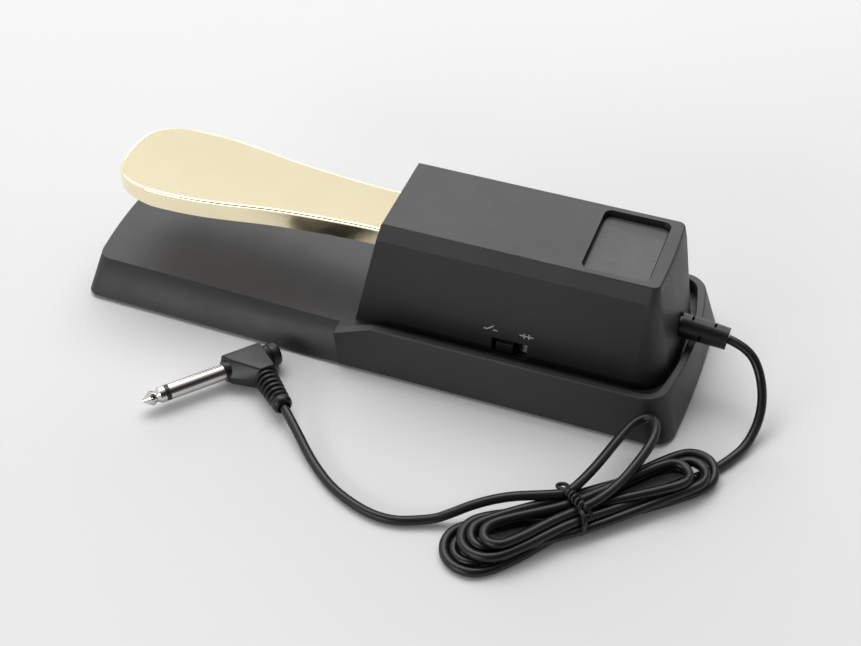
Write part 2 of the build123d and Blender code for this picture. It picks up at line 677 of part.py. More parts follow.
with BuildPart() as switch_plunger:
    with BuildSketch(Plane.XY.offset(MICRO_TOP_Z - 2.5)):
        with Locations((PLUNGER_X, MICRO_Y)):
            Circle(1.2)
    extrude(amount=2.5 + PLUNGER_RISE)
    fillet(switch_plunger.edges().group_by(Axis.Z)[-1], radius=0.8)
finish(switch_plunger, "switch_plunger")

with BuildPart() as switch_leaf:
    slope = atan2(LEAF_TIP[1] - LEAF_PIVOT[1], LEAF_PIVOT[0] - LEAF_TIP[0])
    rise = LEAF_THICKNESS / cos(slope)
    with BuildSketch(Plane.XZ.offset(-MICRO_Y - 2)):
        with BuildLine():
            Polyline(
                LEAF_PIVOT,
                LEAF_TIP,
                (LEAF_TIP[0], LEAF_TIP[1] + rise),
                (LEAF_PIVOT[0], LEAF_PIVOT[1] + rise),
                close=True,
            )
        make_face()
        with Locations(LEAF_PIVOT):
            Circle(0.7)
    extrude(amount=4)
finish(switch_leaf, "switch_leaf")

with BuildPart() as switch_screws:
    with BuildSketch(Plane.XZ.offset(CHEEK_OUT)):
        with Locations(*MICRO_HOLES):
            Circle(1.15)
    extrude(amount=-SHEET - MICRO[1])
    with BuildSketch(Plane.XZ.offset(CHEEK_IN - MICRO[1])):
        with Locations(*MICRO_HOLES):
            Circle(2.1)
    extrude(amount=-1.4)
finish(switch_screws, "switch_screws")

# ---- board and slide switch ----
with BuildPart() as circuit_board:
    with BuildSketch(Plane.XZ.offset(-BOARD_Y - BOARD_THICKNESS)):
        with Locations(((SLIDER_X - 12 + PIVOT_X + 40) / 2, DECK_Z + 11)):
            Rectangle(PIVOT_X + 40 - SLIDER_X + 12, 21.6)
        with Locations(*BOARD_POSTS):
            Circle(SCREW_RADIUS + SCREW_GAP, mode=Mode.SUBTRACT)
    extrude(amount=BOARD_THICKNESS)
finish(circuit_board, "circuit_board")

with BuildPart() as board_screws:
    with BuildSketch(Plane.XZ.offset(-BOARD_Y - BOARD_THICKNESS)):
        with Locations(*BOARD_POSTS):
            Circle(SCREW_RADIUS)
    extrude(amount=BOARD_THICKNESS + 3.5)
    with BuildSketch(Plane.XZ.offset(-BOARD_Y - BOARD_THICKNESS)):
        with Locations(*BOARD_POSTS):
            Circle(SCREW_HEAD_RADIUS)
    extrude(amount=-1.6)
finish(board_screws, "board_screws")

CHANNEL_LENGTH = SLIDER_LENGTH + 2 * SLIDER_TRAVEL + 5
with BuildPart() as slide_switch_frame:
    with BuildSketch(Plane.XZ.offset(-BOARD_Y)):
        with Locations((SLIDER_X + SLIDER_TRAVEL / 2, SLIDER_Z + 0.5)):
            Rectangle(*SLIDE_FRAME)
    extrude(amount=SLIDE_DEPTH)
    with BuildSketch(Plane.XZ.offset(-BOARD_Y + 1.6)):
        with Locations((SLIDER_X + SLIDER_TRAVEL / 2, SLIDER_Z + 0.5)):
            Rectangle(CHANNEL_LENGTH, SLIDE_FRAME[1] - 2)
    extrude(amount=SLIDE_DEPTH, mode=Mode.SUBTRACT)
finish(slide_switch_frame, "slide_switch_frame")

SIDE_SLOPE = HOOD_SIDE_LEAN / (BAND_Z - DECK_Z)
KNOB_Y = -(HOOD_HALF_BASE - (SLIDER_Z - DECK_Z) * SIDE_SLOPE)
SLIDER_BASE = SLIDE_DEPTH - 2.6
with BuildPart() as polarity_slider:
    with BuildSketch(Plane.XZ.offset(-BOARD_Y + 1.8)):
        with Locations((SLIDER_X, SLIDER_Z + 0.5)):
            Rectangle(SLIDER_LENGTH + 3, SLIDE_FRAME[1] - 2.4)
    extrude(amount=SLIDER_BASE)
    with BuildSketch(Plane.XZ.offset(-BOARD_Y + 1.8 + SLIDER_BASE)):
        with Locations((SLIDER_X, SLIDER_Z)):
            Rectangle(SLIDER_LENGTH, SLIDER_HEIGHT)
    extrude(amount=-KNOB_Y + BOARD_Y - 1.8 - SLIDER_BASE)
finish(polarity_slider, "polarity_slider")

with BuildPart() as lead_connector:
    with BuildSketch(Plane.XZ.offset(-BOARD_Y - BOARD_THICKNESS)):
        with Locations((PIVOT_X + 23, 25)):
            Rectangle(8, 6)
    extrude(amount=-5.6)
finish(lead_connector, "lead_connector")

# ---- strain relief and inner lead ----
with BuildPart() as strain_relief:
    with BuildSketch(EXIT_PLANE):
        Circle(RELIEF_RADIUS)
    with BuildSketch(EXIT_PLANE.offset(RELIEF_LENGTH)):
        Circle(RELIEF_RADIUS - 0.55)
    loft()
    with BuildSketch(EXIT_PLANE):
        Circle(RELIEF_NECK)
    extrude(amount=-5)
    with BuildSketch(EXIT_PLANE.offset(-HOOD_WALL - 0.4)):
        Circle(RELIEF_NECK + 1.55)
    extrude(amount=-1.8)
    # flexing slots, top and bottom then both sides in turn
    for step in range(3):
        across = step % 2 == 0
        for side in (-1, 1):
            with BuildSketch(EXIT_PLANE.offset(3.4 + step * 4.4)):
                with Locations((0, side * 4.4) if across else (side * 4.4, 0)):
                    Rectangle(*((3.2, 2.4) if across else (2.4, 3.2)))
            extrude(amount=0.9, mode=Mode.SUBTRACT)
finish(strain_relief, "strain_relief")

inner_end = EXIT_PLANE.from_local_coords((0, 0, -5.0))
inner_lead = tube(
    [
        (inner_end.X, 0, inner_end.Z),
        (inner_end.X - 9, 0.6, inner_end.Z - 0.4),
        (PIVOT_X + 26, -2, 25.5),
        (PIVOT_X + 23, BOARD_Y + BOARD_THICKNESS + 5.6, 25),
    ],
    1.5,
    "inner_lead",
)
finish(inner_lead, "inner_lead")

# ---- plug ----
PLUG_SHOULDER = Vector(-47.7, -64.1, PLUG_AXIS_Z)
BARREL = Plane(origin=PLUG_SHOULDER, x_dir=(0.744, -0.668, 0), z_dir=(-0.668, -0.744, 0))
SLEEVE_LENGTH = 23.1
RING = 1.9
BOOT_SET = 12.6  # from the shoulder back to the boot's middle
BOOT_REACH = 28.0
BOOT = Plane(
    origin=BARREL.from_local_coords((0, 0, -BOOT_SET)),
    x_dir=(0.668, 0.744, 0),
    z_dir=(0.744, -0.668, 0),
)

with BuildPart() as plug_sleeve:
    with BuildSketch(BARREL):
        Circle(PLUG_RADIUS)
    extrude(amount=SLEEVE_LENGTH)
finish(plug_sleeve, "plug_sleeve")

with BuildPart() as plug_insulator:
    with BuildSketch(BARREL.offset(SLEEVE_LENGTH)):
        Circle(PLUG_RADIUS)
    extrude(amount=RING)
finish(plug_insulator, "plug_insulator")

with BuildPart() as plug_tip:
    with BuildSketch(Plane(origin=BARREL.origin, x_dir=BARREL.x_dir, z_dir=-BARREL.y_dir)):
        with BuildLine():
            low = SLEEVE_LENGTH + RING
            Polyline(
                (0, low),
                (PLUG_RADIUS, low),
                (PLUG_RADIUS, low + 2.2),
                (PLUG_RADIUS - 1.1, low + 3.6),
                (PLUG_RADIUS - 0.1, low + 5.3),
                (PLUG_RADIUS - 0.5, low + 6.1),
                (0.5, low + 9.0),
                (0, low + 9.0),
                close=True,
            )
        make_face()
    revolve(axis=Axis(BARREL.origin, BARREL.z_dir))
finish(plug_tip, "plug_tip")

with BuildPart() as plug_body:
    with BuildSketch(Plane(origin=(BARREL.origin.X, BARREL.origin.Y, 0.3), x_dir=(0.668, 0.744, 0), z_dir=(0, 0, 1))):
        with BuildLine():
            Polyline((0, 5.2), (18.5, 5.2), (18.5, -11.2), (7, -11.2), (0, -5.2), close=True)
        make_face()
    extrude(amount=2 * PLUG_AXIS_Z - 0.6)
    chamfer(plug_body.edges().group_by(Axis.Z)[-1], length=2.6)
    with BuildSketch(BARREL.offset(-17)):
        Circle(4.9)
    extrude(amount=-6)
    with BuildSketch(BOOT.offset(8)):
        Circle(4.8)
    with BuildSketch(BOOT.offset(BOOT_REACH)):
        Circle(3.7)
    loft()
finish(plug_body, "plug_body")

# ---- cord ----
boot_end = BOOT.from_local_coords((0, 0, BOOT_REACH))
relief_end = EXIT_PLANE.from_local_coords((0, 0, RELIEF_LENGTH))
TAIL = [
    (relief_end.X, 0, relief_end.Z),
    (143.0, -0.8, 24.6),
    (150.0, -6.0, 17.0),
    (153.6, -16.0, 8.5),
    (151.8, -28.0, 2.6),
    (147.0, -38.0, 1.9),
    (142.0, -46.0, 1.9),
]
LEAD = [
    (boot_end.X, boot_end.Y, boot_end.Z),
    (-10.5, -80.6, 4.2),
    (2.0, -93.0, 1.9),
    (16.5, -103.6, 1.9),
    (36.5, -109.6, 1.9),
    (53.0, -103.2, 2.4),
    (66.0, -99.0, 4.0),
]
EAR = [
    (98.6, -78.5, 8.0),
    (103.4, -66.0, 10.6),
    (107.0, -53.5, 12.6),
    (109.0, -44.8, 14.2),
    (112.8, -40.4, 16.0),
    (117.6, -40.9, 17.4),
    (120.6, -46.5, 17.6),
    (120.2, -55.5, 16.6),
    (115.8, -68.0, 14.0),
    (108.6, -80.0, 9.0),
]
HANK_TOP = 9.6

cord_tail = tube(TAIL, CORD_RADIUS, "cord_tail")
finish(cord_tail, "cord_tail")
cord_lead = tube(LEAD, CORD_RADIUS, "cord_lead")
finish(cord_lead, "cord_lead")
cord_ear = tube(EAR, CORD_RADIUS, "cord_ear")
finish(cord_ear, "cord_ear")

HANK = Plane(origin=(101.5, -87.0, 0), x_dir=(0.737, 0.676, 0), z_dir=(0, 0, 1))
with BuildPart() as cord_hank:
    with BuildSketch(HANK):
        with BuildLine():
            Spline(
                (-50, 5),
                (-43, -7),
                (-24, -8.5),
                (0, -6),
                (30, -5),
                (52, -5),
                (61, 4),
                (50, 15),
                (28, 12),
                (0, 7.5),
                (-24, 14),
                (-42, 16),
                periodic=True,
            )
        make_face()
    extrude(amount=HANK_TOP)
    chamfer(cord_hank.edges().group_by(Axis.Z)[-1], length=2.4)
finish(cord_hank, "cord_hank")

with BuildPart() as cord_tie:
    with BuildSketch(Plane(origin=(100.8, -86.6, 0), x_dir=(-0.676, 0.737, 0), z_dir=(0.737, 0.676, 0))):
        with Locations((0.8, HANK_TOP / 2 + 0.4)):
            Rectangle(17.6, HANK_TOP + 0.8)
            Rectangle(14.8, HANK_TOP - 1.6, mode=Mode.SUBTRACT)
    extrude(amount=2.4)
finish(cord_tie, "cord_tie")
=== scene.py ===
import json
import math

import bmesh
import bpy
import numpy as np
from mathutils import Matrix, Vector


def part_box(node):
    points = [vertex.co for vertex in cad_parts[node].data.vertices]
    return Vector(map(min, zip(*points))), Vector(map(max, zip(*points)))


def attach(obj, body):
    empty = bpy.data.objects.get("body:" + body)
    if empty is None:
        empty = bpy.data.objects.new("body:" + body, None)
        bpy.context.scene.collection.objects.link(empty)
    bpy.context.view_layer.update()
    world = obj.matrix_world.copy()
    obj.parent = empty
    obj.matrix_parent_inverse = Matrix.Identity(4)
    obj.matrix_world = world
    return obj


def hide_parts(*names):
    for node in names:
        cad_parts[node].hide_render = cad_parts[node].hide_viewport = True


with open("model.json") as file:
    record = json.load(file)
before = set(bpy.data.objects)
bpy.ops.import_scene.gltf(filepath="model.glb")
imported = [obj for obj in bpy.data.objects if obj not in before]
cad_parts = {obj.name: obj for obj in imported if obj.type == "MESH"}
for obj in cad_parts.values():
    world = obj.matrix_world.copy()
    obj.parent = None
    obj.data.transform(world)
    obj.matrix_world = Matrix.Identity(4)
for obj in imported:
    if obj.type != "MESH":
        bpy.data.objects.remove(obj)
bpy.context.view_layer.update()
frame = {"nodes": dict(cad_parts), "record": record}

MM = 0.001
scene = bpy.context.scene
scene.view_settings.view_transform = "Standard"


# ---- camera ----
def camera_axes(azimuth, elevation, roll):
    """Right, up and back of a camera that looks at the object from that side, in degrees."""
    a, e, k = (math.radians(v) for v in (azimuth, elevation, roll))
    back = Vector((math.sin(a) * math.cos(e), -math.cos(a) * math.cos(e), math.sin(e)))
    right = Vector((math.cos(a), math.sin(a), 0))
    up = back.cross(right)
    return right * math.cos(k) + up * math.sin(k), up * math.cos(k) - right * math.sin(k), back


CAMERA_PLACE = Vector((186.9, -452.0, 457.5))  # millimetres
AZIMUTH = 20.949
ELEVATION = 43.715
ROLL = -0.666

lens = bpy.data.cameras.new("camera")
lens.sensor_width = 36
lens.lens = 67.99
lens.clip_start = 0.05
lens.clip_end = 20
camera = bpy.data.objects.new("camera", lens)
scene.collection.objects.link(camera)
right, up, back = camera_axes(AZIMUTH, ELEVATION, ROLL)
turn = Matrix((right, up, back)).transposed().to_4x4()
camera.matrix_world = Matrix.Translation(CAMERA_PLACE * MM) @ turn
scene.camera = camera


# ---- light ----
def area(name, place, target, size, power):
    """A soft white rectangular light at place that faces target."""
    lamp = bpy.data.lights.new(name, "AREA")
    lamp.shape = "RECTANGLE"
    lamp.size, lamp.size_y = size
    lamp.energy = power
    holder = bpy.data.objects.new(name, lamp)
    scene.collection.objects.link(holder)
    holder.location = place
    aim = Vector(target) - Vector(place)
    holder.rotation_euler = aim.to_track_quat("-Z", "Y").to_euler()


area("overhead", (-0.30, 0.72, 1.40), (0, 0, 0.03), (1.8, 0.8), 16)
area("back", (-0.50, 1.45, 0.62), (0, 0, 0.03), (1.8, 0.35), 8)
area("low", (-0.55, -1.35, 0.55), (-0.05, 0, 0.01), (0.9, 0.35), 6.2)

world = bpy.data.worlds.new("studio")
scene.world = world
world.use_nodes = True
sky = world.node_tree
sky.nodes.clear()
heading = sky.nodes.new("ShaderNodeTexCoord").outputs["Generated"]


def across_sky(direction, stops):
    """Brightness over the sky; each stop is (how nearly that way it is, from -1 to 1, grey)."""
    facing = sky.nodes.new("ShaderNodeVectorMath")
    facing.operation = "DOT_PRODUCT"
    facing.inputs[1].default_value = direction
    sky.links.new(heading, facing.inputs[0])
    level = sky.nodes.new("ShaderNodeMapRange")
    level.inputs["From Min"].default_value = -1
    sky.links.new(facing.outputs["Value"], level.inputs["Value"])
    ramp = sky.nodes.new("ShaderNodeValToRGB")
    ramp.color_ramp.interpolation = "EASE"
    for place, (nearly, grey) in zip(ramp.color_ramp.elements, stops):
        place.position = (nearly + 1) / 2
        place.color = (grey, grey, grey, 1)
    sky.links.new(level.outputs["Result"], ramp.inputs["Fac"])
    return ramp.outputs["Color"]


def times(a, b):
    """The product of two colours of the sky."""
    product = sky.nodes.new("ShaderNodeVectorMath")
    product.operation = "MULTIPLY"
    sky.links.new(a, product.inputs[0])
    sky.links.new(b, product.inputs[1])
    return product.outputs["Vector"]


# dark behind the camera, dimmer on the cord's side, and brightest overhead
dark = across_sky(back, ((0.45, 1.0), (0.92, 0.06)))
sides = across_sky((1, 0, 0), ((-0.8, 1.0), (0.9, 0.36)))
top = across_sky((0, 0, 1), ((0.74, 1.0), (0.92, 2.1)))
shine = sky.nodes.new("ShaderNodeBackground")
shine.inputs["Strength"].default_value = 1.0
sky.links.new(times(times(dark, sides), top), shine.inputs["Color"])
sky_out = sky.nodes.new("ShaderNodeOutputWorld")
sky.links.new(shine.outputs["Background"], sky_out.inputs["Surface"])


# ---- materials ----
class Paint:
    """A material on a Principled shader, with short helpers for its nodes."""

    def __init__(self, name, **fixed):
        self.material = bpy.data.materials.new(name)
        self.material.use_nodes = True
        self.tree = self.material.node_tree
        self.shader = self.tree.nodes["Principled BSDF"]
        for socket, value in fixed.items():
            self.shader.inputs[socket.replace("_", " ")].default_value = value
        self.at = self.add("ShaderNodeTexCoord").outputs["Object"]

    def add(self, kind, **inputs):
        node = self.tree.nodes.new(kind)
        for socket, value in inputs.items():
            self.join(value, node.inputs[socket.replace("_", " ")])
        return node

    def join(self, value, socket):
        if isinstance(value, bpy.types.NodeSocket):
            self.tree.links.new(value, socket)
        else:
            socket.default_value = value

    def noise(self, scale, detail=3.0, roughness=0.5, stretch=(1, 1, 1)):
        mapped = self.add("ShaderNodeMapping", Vector=self.at, Scale=stretch)
        return self.add(
            "ShaderNodeTexNoise",
            Vector=mapped.outputs["Vector"],
            Scale=scale,
            Detail=detail,
            Roughness=roughness,
        ).outputs["Fac"]

    def ramp(self, value, low, high, start=0.35, end=0.65):
        node = self.add("ShaderNodeValToRGB", Fac=value)
        node.color_ramp.elements[0].position = start
        node.color_ramp.elements[0].color = (*low, 1)
        node.color_ramp.elements[1].position = end
        node.color_ramp.elements[1].color = (*high, 1)
        return node.outputs["Color"]

    def spread(self, value, low, high):
        node = self.add("ShaderNodeMapRange", Value=value)
        node.inputs["From Min"].default_value = 0.3
        node.inputs["From Max"].default_value = 0.7
        node.inputs["To Min"].default_value = low
        node.inputs["To Max"].default_value = high
        return node.outputs["Result"]

    def colour(self, value):
        self.join(value, self.shader.inputs["Base Color"])
        return self

    def rough(self, value):
        self.join(value, self.shader.inputs["Roughness"])
        return self

    def bump(self, *layers):
        """Each layer is (height, distance in metres, strength)."""
        normal = None
        for height, distance, strength in layers:
            node = self.add("ShaderNodeBump", Height=height, Distance=distance, Strength=strength)
            if normal is not None:
                self.join(normal, node.inputs["Normal"])
            normal = node.outputs["Normal"]
        self.join(normal, self.shader.inputs["Normal"])
        return self


def plastic(name, low, high, rough, grain, depth, specular=0.5):
    """Moulded plastic: a fine grain, and a faint drift of colour and of gloss."""
    paint = Paint(name, Specular_IOR_Level=specular)
    paint.colour(paint.ramp(paint.noise(26, 4), low, high))
    paint.rough(paint.spread(paint.noise(60, 5, 0.6), *rough))
    paint.bump((paint.noise(grain, 2, 0.6), depth, 0.5), (paint.noise(45, 2), 0.0002, 0.08))
    return paint.material


def metal(name, low, high, rough, stretch=(1, 1, 1), scale=900, depth=0.00001, coat=0.0):
    """Metal with a faint lay of fine lines and a drift of roughness."""
    paint = Paint(name, Metallic=1.0, Coat_Weight=coat, Coat_IOR=1.75, Coat_Roughness=0.03)
    paint.colour(paint.ramp(paint.noise(35, 3), low, high))
    paint.rough(paint.spread(paint.noise(scale, 3, 0.6, stretch), *rough))
    paint.bump((paint.noise(scale, 2, 0.5, stretch), depth, 0.25))
    return paint.material


finish_of = {
    "housing": plastic(
        "housing", (0.0130, 0.0118, 0.0131), (0.0168, 0.0153, 0.0166), (0.42, 0.52), 1700, 0.00006
    ),
    "plate": plastic("plate", (0.046, 0.043, 0.044), (0.066, 0.062, 0.063), (0.22, 0.32), 1200, 0.000006),
    "gold": metal(
        "gold", (0.90, 0.79, 0.50), (0.93, 0.82, 0.53), (0.10, 0.14), (0.2, 4, 4), 500, 0.0000015, 1.0
    ),
    "steel": metal("steel", (0.50, 0.50, 0.51), (0.62, 0.62, 0.63), (0.26, 0.42), (0.3, 3, 3)),
    "nickel": metal("nickel", (0.50, 0.49, 0.465), (0.57, 0.555, 0.53), (0.06, 0.11), (1, 1, 3), 700),
    "rubber": plastic(
        "rubber", (0.016, 0.016, 0.016), (0.024, 0.024, 0.024), (0.7, 0.85), 1400, 0.00005, 0.3
    ),
    "nylon": plastic("nylon", (0.62, 0.61, 0.56), (0.70, 0.69, 0.65), (0.38, 0.5), 1500, 0.00002),
    "pvc": plastic(
        "pvc", (0.0060, 0.0060, 0.0064), (0.0085, 0.0085, 0.0090), (0.28, 0.38), 1300, 0.000012, 0.36
    ),
    "board": plastic("board", (0.02, 0.12, 0.05), (0.03, 0.15, 0.07), (0.28, 0.4), 600, 0.00002),
    "switch": plastic("switch", (0.010, 0.010, 0.011), (0.014, 0.014, 0.015), (0.34, 0.44), 1500, 0.00002),
    "felt": plastic("felt", (0.10, 0.10, 0.10), (0.20, 0.20, 0.20), (0.9, 0.98), 2600, 0.0004, 0.15),
}


def ink():
    """White printed ink, a little worn."""
    paint = Paint("ink", Specular_IOR_Level=0.3)
    paint.colour(paint.ramp(paint.noise(2200, 3, 0.7), (0.36, 0.36, 0.37), (0.62, 0.62, 0.62)))
    paint.rough(paint.spread(paint.noise(900), 0.5, 0.65))
    return paint.material


white_ink = ink()


def give(thing, slot):
    """The finish of that slot of the record, on all of the thing's own slots."""
    dress(thing, finish_of[slot])


def dress(thing, material):
    """The material on every slot of the thing."""
    if not thing.material_slots:
        thing.data.materials.append(material)
    for place in thing.material_slots:
        place.material = material


for part in frame["record"]["subparts"]:
    dress(frame["nodes"][part["node"]], finish_of[part["material_slot"]])

# ---- floor ----
REACH = 3.0
floor_mesh = bpy.data.meshes.new("floor")
floor_mesh.from_pydata(
    [(-REACH, -REACH, 0), (REACH, -REACH, 0), (REACH, REACH, 0), (-REACH, REACH, 0)], [], [(0, 1, 2, 3)]
)
floor = bpy.data.objects.new("floor", floor_mesh)
scene.collection.objects.link(floor)
paper = Paint("paper", Specular_IOR_Level=0.1, Roughness=0.9)
paper.colour(paper.ramp(paper.noise(3), (0.685, 0.685, 0.69), (0.69, 0.69, 0.695)))
dress(floor, paper.material)

# ---- cord ----
CORD = 3.6  # diameter
TAIL = [
    (134.7, 0.0, 25.8),
    (143.0, -0.8, 24.6),
    (150.0, -6.0, 17.0),
    (153.6, -16.0, 8.5),
    (151.8, -28.0, 2.6),
    (147.0, -38.0, 1.9),
    (138.5, -49.5, 1.9),
]
LEAD = [
    (53.0, -103.2, 2.4),
    (36.5, -109.6, 1.9),
    (16.5, -103.6, 1.9),
    (2.0, -93.0, 1.9),
    (-10.5, -80.6, 4.2),
    (-18.5, -73.4, 6.0),
]
HANK = (101.5, -87.0)
ALONG = (0.737, 0.676)
ACROSS = (-0.676, 0.737)


def hank(s, t, z):
    """A point s along the hank from its tie, t across it and z above the floor."""
    return (HANK[0] + ALONG[0] * s + ACROSS[0] * t, HANK[1] + ALONG[1] * s + ACROSS[1] * t, z)


# each loop's end along the hank, its two edges across it, and its height
LEFT = [
    (-48.0, -6.6, 15.4, 1.9),
    (-44.4, -3.2, 11.8, 1.9),
    (-41.5, -6.0, 13.4, 5.4),
    (-38.0, -2.6, 9.6, 5.4),
    (-34.5, -5.0, 6.4, 8.8),
]
RIGHT = [(59.0, -3.2, 13.6, 2.6), (53.5, -3.6, 9.8, 5.4), (50.0, -1.2, 10.4, 2.0), (46.0, -4.6, 7.4, 8.6)]
# where each strand goes through the tie
TIE_LEFT = [(2.9, 2.7), (6.6, 2.7), (4.8, 5.8), (8.2, 5.8), (2.9, 8.9)]
TIE_RIGHT = [(-0.8, 2.7), (-4.5, 2.7), (-2.6, 5.8), (1.1, 5.8), (-0.8, 8.9)]
# the loop that stands up against the tray, and the strand that leaves for the plug
EAR = [
    (9, -0.6, 11.2),
    (20, 3.2, 12.8),
    (29.5, 8.2, 15.4),
    (36.5, 12.6, 17.6),
    (41.6, 18.4, 18.2),
    (42.6, 24.6, 17.4),
    (37.4, 26.4, 15.2),
    (28.5, 22.6, 12.6),
    (17, 15.0, 11.6),
    (7, 9.2, 10.8),
]
AWAY = [(0, 6.6, 8.9), (-9, 9.6, 8.8), (-20, 14.2, 8.6), (-31, 17.4, 7.0), (-41, 19.2, 4.2)]


END_STRETCH = 1.15  # how far a loop's end reaches along the hank, in half widths
BULGE = 1.06  # control points stand this much outside the curve
STRANDS = ((0.36, 0.30), (0.72, 0.80))  # how far along a strand, and how far it has spread there
END_POINTS = 5
END_TURN = 36  # degrees from one point of a loop's end to the next


def loop(side, end, low, high, height, enter, leave):
    """The points of one loop, from where it leaves the tie round its end and back to it."""
    half = (high - low) / 2
    swing = half * END_STRETCH
    centre = end - side * swing
    first, last = (low, high) if side > 0 else (high, low)
    points = []
    for far, spread in STRANDS:
        t = enter[0] + (first - enter[0]) * spread
        points.append((centre * far, t, enter[1] + (height - enter[1]) * spread))
    for step in range(END_POINTS):
        turn_by = math.radians(2 * END_TURN - END_TURN * step)
        s = centre + side * swing * BULGE * math.cos(turn_by)
        points.append((s, (low + high) / 2 - side * half * BULGE * math.sin(turn_by), height))
    for far, spread in reversed(STRANDS):
        t = leave[0] + (last - leave[0]) * spread
        points.append((centre * far, t, leave[1] + (height - leave[1]) * spread))
    return points


turns = []
for k, left in enumerate(LEFT):
    turns += [(0, *TIE_LEFT[k]), *loop(-1, *left, TIE_LEFT[k], TIE_RIGHT[k]), (0, *TIE_RIGHT[k])]
    if k < len(RIGHT):
        turns += loop(1, *RIGHT[k], TIE_RIGHT[k], TIE_LEFT[k + 1])
route = TAIL + [hank(*p) for p in turns + EAR + AWAY] + LEAD


def spline_weights(count, per):
    """Rows that turn control points into points along their quadratic spline."""
    rows = []
    for t in np.linspace(0, count - 2, (count - 2) * per + 1):
        k = min(int(t), count - 3)
        t0, t1, t2, t3 = (min(max(i, 0), count - 2) for i in (k - 1, k, k + 1, k + 2))
        first = (t2 - t) ** 2 / ((t2 - t1) * (t2 - t0))
        last = (t - t1) ** 2 / ((t2 - t1) * (t3 - t1))
        row = np.zeros(count)
        row[k : k + 3] = first, 1 - first - last, last
        rows.append(row)
    return np.array(rows)


GROUND_GAP = 0.05
TIE_LIFT = 0.75  # the band of the tie holds the strands this much off the floor
TIE_REACH = 7
OWN_RUN = 3.2  # strands nearer than this along the cord, in diameters, don't push each other
UPWARD = 1.6
FORCE = 1.6
PULL_BACK = 0.01
STIFFNESS = 0.25
SINK = 0.03


def settle(points, held, rounds=170):
    """Control points moved a little, so that the hank's strands lie beside and on each other."""
    rest = np.array(points, float)
    now = rest.copy()
    weights = spline_weights(len(now), 5)
    share = weights.sum(0)[:, None]
    free = ~held
    middle = (now[:, :2] - HANK) @ ALONG
    ground = CORD / 2 + GROUND_GAP + TIE_LIFT * np.exp(-((middle / TIE_REACH) ** 2))
    for _ in range(rounds):
        line = weights @ now
        run = np.concatenate([[0], np.cumsum(np.linalg.norm(np.diff(line, axis=0), axis=1))])
        apart = line[:, None] - line[None]
        distance = np.linalg.norm(apart, axis=2)
        close = (distance < CORD) & (np.abs(run[:, None] - run[None]) > OWN_RUN * CORD)
        push = np.where(close, (CORD - distance) / np.maximum(distance, 0.001), 0)
        apart[..., 2] *= UPWARD
        shift = (apart * push[..., None]).sum(1) / np.maximum(close.sum(1), 1)[:, None] * 0.5
        move = (weights.T @ shift) / share
        for _ in range(2):
            move[1:-1] = 0.25 * move[:-2] + 0.5 * move[1:-1] + 0.25 * move[2:]
        move = FORCE * move + PULL_BACK * (rest - now)
        bend = np.zeros_like(now)
        slack = now - rest
        bend[1:-1] = 0.5 * (slack[:-2] + slack[2:]) - slack[1:-1]
        now[free] += (move + STIFFNESS * bend)[free]
        now[free, 2] = np.maximum(now[free, 2] - SINK, ground[free])
    return now


HELD = 6  # points at either end that stay where they are
held = np.zeros(len(route), bool)
held[:HELD] = True
held[-HELD:] = True
route = settle(route, held)

curve = bpy.data.curves.new("cord", "CURVE")
curve.dimensions = "3D"
curve.bevel_depth = CORD / 2 * MM
curve.bevel_resolution = 6
curve.resolution_u = 10
curve.use_fill_caps = True
spline = curve.splines.new("NURBS")
spline.points.add(len(route) - 1)
for point, place in zip(spline.points, route):
    point.co = (*(float(v) * MM for v in place), 1)
spline.order_u = 3
spline.use_endpoint_u = True
spline.use_smooth = True
cord = bpy.data.objects.new("cord", curve)
scene.collection.objects.link(cord)
give(cord, "pvc")
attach(cord, "base")
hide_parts("cord_tail", "cord_hank", "cord_ear", "cord_lead")


# ---- mesh helpers ----
def new_piece(name, mesh, slot, body="base", smooth=40):
    """A piece of the object with that finish, which rides on body."""
    piece = bpy.data.objects.new(name, mesh)
    scene.collection.objects.link(piece)
    mesh.polygons.foreach_set("use_smooth", [True] * len(mesh.polygons))
    mesh.set_sharp_from_angle(angle=math.radians(smooth))
    give(piece, slot)
    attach(piece, body)
    return piece


def lathe(form, centre, axis, profile, steps=48):
    """Adds the profile's (radius, height) points, turned about the axis, to the bmesh form."""
    axis = Vector(axis).normalized()
    side = axis.orthogonal().normalized()
    other = axis.cross(side)
    rings = []
    for radius, height in profile:
        hub = Vector(centre) + axis * height
        if radius == 0:
            rings.append([form.verts.new(hub * MM)] * steps)
            continue
        ring = []
        for k in range(steps):
            a = 2 * math.pi * k / steps
            place = hub + side * radius * math.cos(a) + other * radius * math.sin(a)
            ring.append(form.verts.new(place * MM))
        rings.append(ring)
    for a, b in zip(rings, rings[1:]):
        for k in range(steps):
            n = (k + 1) % steps
            corners = list(dict.fromkeys((a[k], a[n], b[n], b[k])))
            if len(corners) > 2:
                form.faces.new(corners)


def to_mesh(form, name):
    """The bmesh form as a mesh, with its faces turned outwards."""
    mesh = bpy.data.meshes.new(name)
    bmesh.ops.recalc_face_normals(form, faces=form.faces)
    form.to_mesh(mesh)
    form.free()
    return mesh


def bevel(piece, width, segments=3, angle=25):
    """Rounded edges where faces meet at more than that angle in degrees."""
    cut = piece.modifiers.new("edges", "BEVEL")
    cut.width = width
    cut.segments = segments
    cut.limit_method = "ANGLE"
    cut.angle_limit = math.radians(angle)
    return cut


# ---- plug ----
SHOULDER = (-47.7, -64.1)
AXIS_Z = 6.0
BARREL = Vector((-0.668, -0.744, 0))
OUT = Vector((0.744, -0.668, 0))
BOOT_SET = 12.6


def plug(w, v, z):
    """A point w back from the plug's shoulder, v towards its boot and z above the floor."""
    return Vector((*SHOULDER, z)) - BARREL * w + OUT * v


